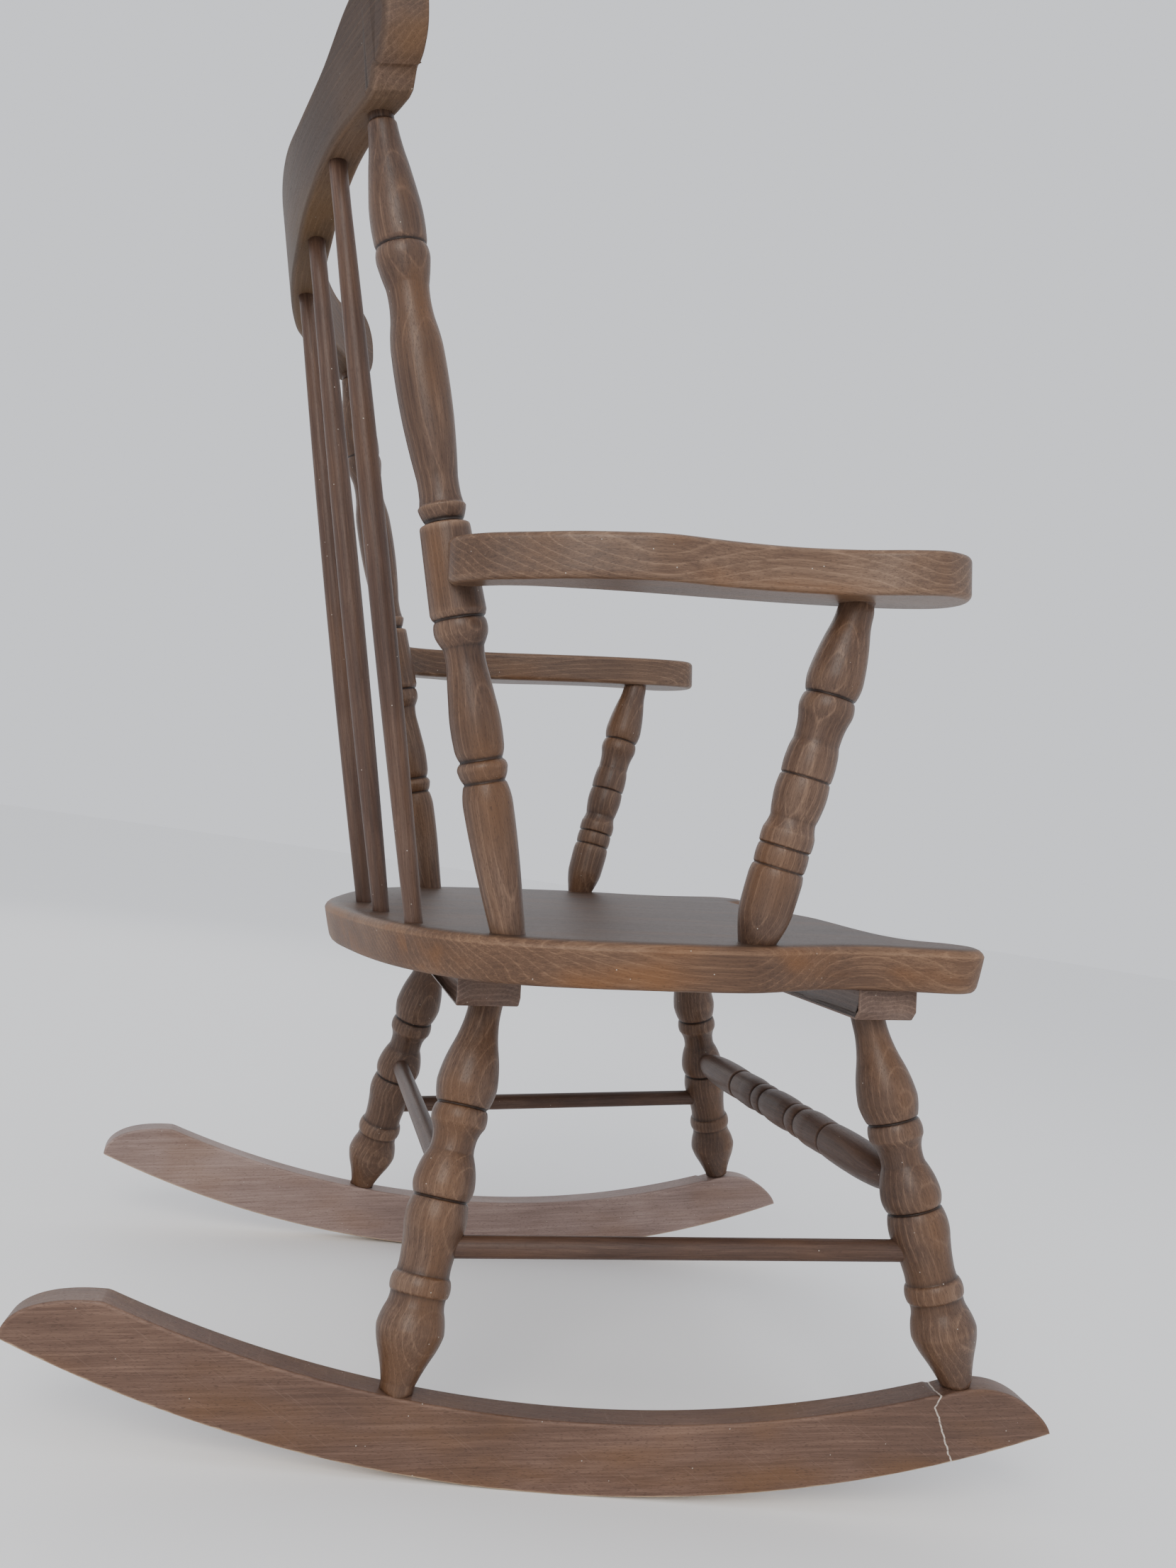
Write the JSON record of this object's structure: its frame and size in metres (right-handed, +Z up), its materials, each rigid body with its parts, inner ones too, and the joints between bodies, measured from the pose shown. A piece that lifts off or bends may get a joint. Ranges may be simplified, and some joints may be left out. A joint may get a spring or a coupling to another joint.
{
  "type": "rocking chair",
  "caption": "Wooden rocking chair: turned legs, posts and arm supports, shaped plank seat, slender back spindles under a bowed crest rail, flat arms, sawn rockers.",
  "frame": {"origin": "floor point under the middle of the chair's bounding box, chair at rest on its rockers", "axes": "+X the way the sitter faces, +Y to the sitter's left, +Z up"},
  "size_m": [0.6889, 0.6668, 0.9322],
  "materials": {
    "turned_wood": "satin",
    "slender_wood": "satin",
    "seat_wood": "satin",
    "board_wood": "satin",
    "rocker_wood": "satin"
  },
  "bodies": {
    "root": {"seat": "seat_wood", "seat_batten_rear": "seat_wood", "seat_batten_front": "seat_wood", "leg_rear_right": "turned_wood", "leg_rear_left": "turned_wood", "leg_front_right": "turned_wood", "leg_front_left": "turned_wood", "rocker_right": "rocker_wood", "rocker_left": "rocker_wood", "stretcher_rear": "slender_wood", "stretcher_front": "slender_wood", "stretcher_side_right": "slender_wood", "stretcher_side_left": "slender_wood", "back_post_right": "turned_wood", "back_post_left": "turned_wood", "spindle_1": "slender_wood", "spindle_2": "slender_wood", "spindle_3": "slender_wood", "spindle_4": "slender_wood", "spindle_5": "slender_wood", "crest_rail": "board_wood", "arm_post_right": "turned_wood", "arm_post_left": "turned_wood", "arm_right": "board_wood", "arm_left": "board_wood"}
  },
  "joints": []
}
